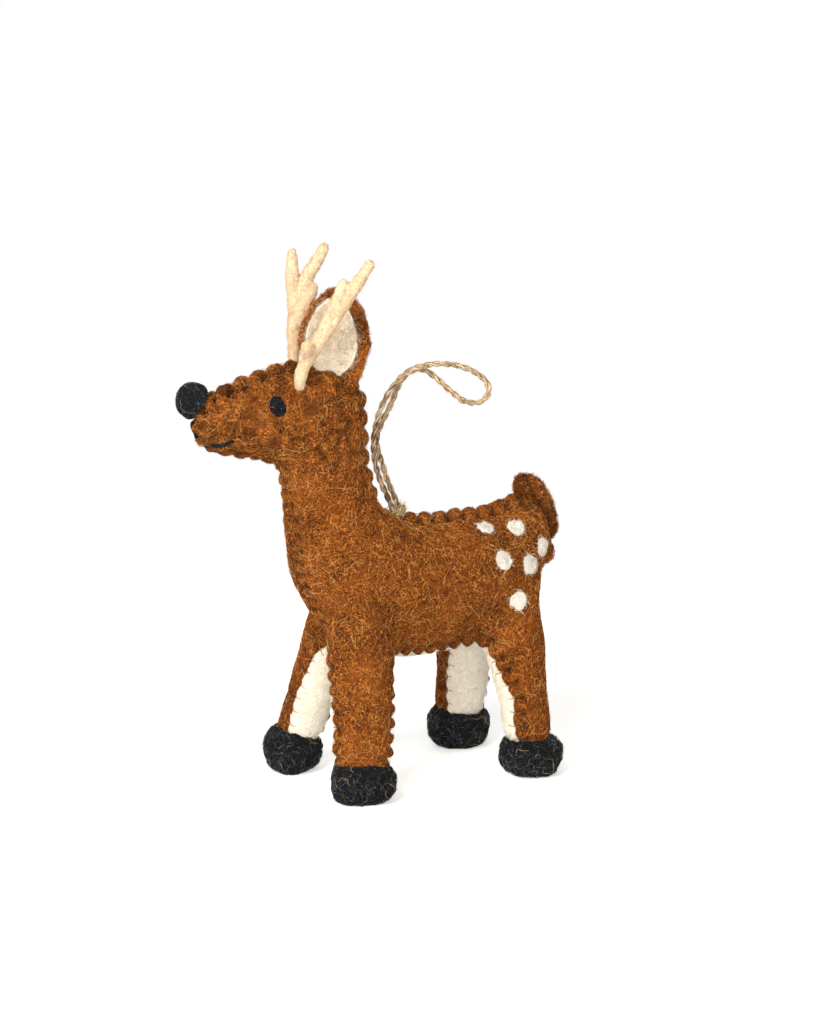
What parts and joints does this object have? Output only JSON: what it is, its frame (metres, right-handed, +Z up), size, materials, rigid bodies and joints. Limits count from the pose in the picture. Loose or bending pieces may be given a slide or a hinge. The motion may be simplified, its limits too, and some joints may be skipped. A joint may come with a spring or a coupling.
{
  "type": "felt reindeer ornament",
  "caption": "Hand-sewn felt reindeer ornament: stuffed brown wool body with pale belly and inner legs, felted antlers on wire, cupped ears, black hooves and a twine hanging loop.",
  "frame": {"origin": "on the floor under the middle of the box that holds the deer without its hanging loop, between the four hooves", "axes": "+Z up from the hooves to the antlers; -X the way the body looks, +X to the tail; -Y the left side, +Y the right side, to which the head is turned"},
  "size_m": [0.0998, 0.0493, 0.1314],
  "materials": {
    "brown_felt": "thick brown wool felt, brushed nap",
    "cream_felt": "thick cream wool felt",
    "ear_felt": "thin beige wool felt",
    "antler_felt": "pale straw wool, needle-felted hard",
    "black_felt": "black wool, needle-felted",
    "white_wool": "white wool roving, needle-felted",
    "black_thread": "black cotton embroidery thread",
    "stuffing_wool": "loose wool filling",
    "jute_twine": "two-ply jute twine, natural",
    "steel_wire": "plain annealed wire"
  },
  "bodies": {
    "deer": {"left_side_panel": "brown_felt", "right_side_panel": "brown_felt", "belly_gusset": "cream_felt", "body_stuffing": "stuffing_wool", "head_stuffing": "stuffing_wool", "neck_stuffing": "stuffing_wool", "front_left_leg_stuffing": "stuffing_wool", "front_right_leg_stuffing": "stuffing_wool", "hind_left_leg_stuffing": "stuffing_wool", "hind_right_leg_stuffing": "stuffing_wool", "front_left_hoof": "black_felt", "front_right_hoof": "black_felt", "hind_left_hoof": "black_felt", "hind_right_hoof": "black_felt", "left_ear": "brown_felt", "left_ear_lining": "ear_felt", "right_ear": "brown_felt", "right_ear_lining": "ear_felt", "left_antler": "antler_felt", "left_antler_wire": "steel_wire", "right_antler": "antler_felt", "right_antler_wire": "steel_wire", "left_eye": "black_felt", "right_eye": "black_felt", "nose": "black_felt", "left_mouth_stitch": "black_thread", "right_mouth_stitch": "black_thread", "lip_stitch": "black_thread", "left_rump_spot_1": "white_wool", "left_rump_spot_2": "white_wool", "left_rump_spot_3": "white_wool", "left_rump_spot_4": "white_wool", "left_rump_spot_5": "white_wool", "left_rump_spot_6": "white_wool", "right_rump_spot_1": "white_wool", "right_rump_spot_2": "white_wool", "right_rump_spot_3": "white_wool", "right_rump_spot_4": "white_wool", "right_rump_spot_5": "white_wool", "right_rump_spot_6": "white_wool", "tail": "brown_felt", "loop_knot": "jute_twine"},
    "loop": {"hanging_loop": "jute_twine"}
  },
  "joints": [
    {"name": "loop_hinge", "type": "hinge", "parent": "deer", "child": "loop", "pos_m": [0.00496, 0, 0.06509], "axis": [0, 1, 0], "range_deg": [-4, 32]}
  ]
}
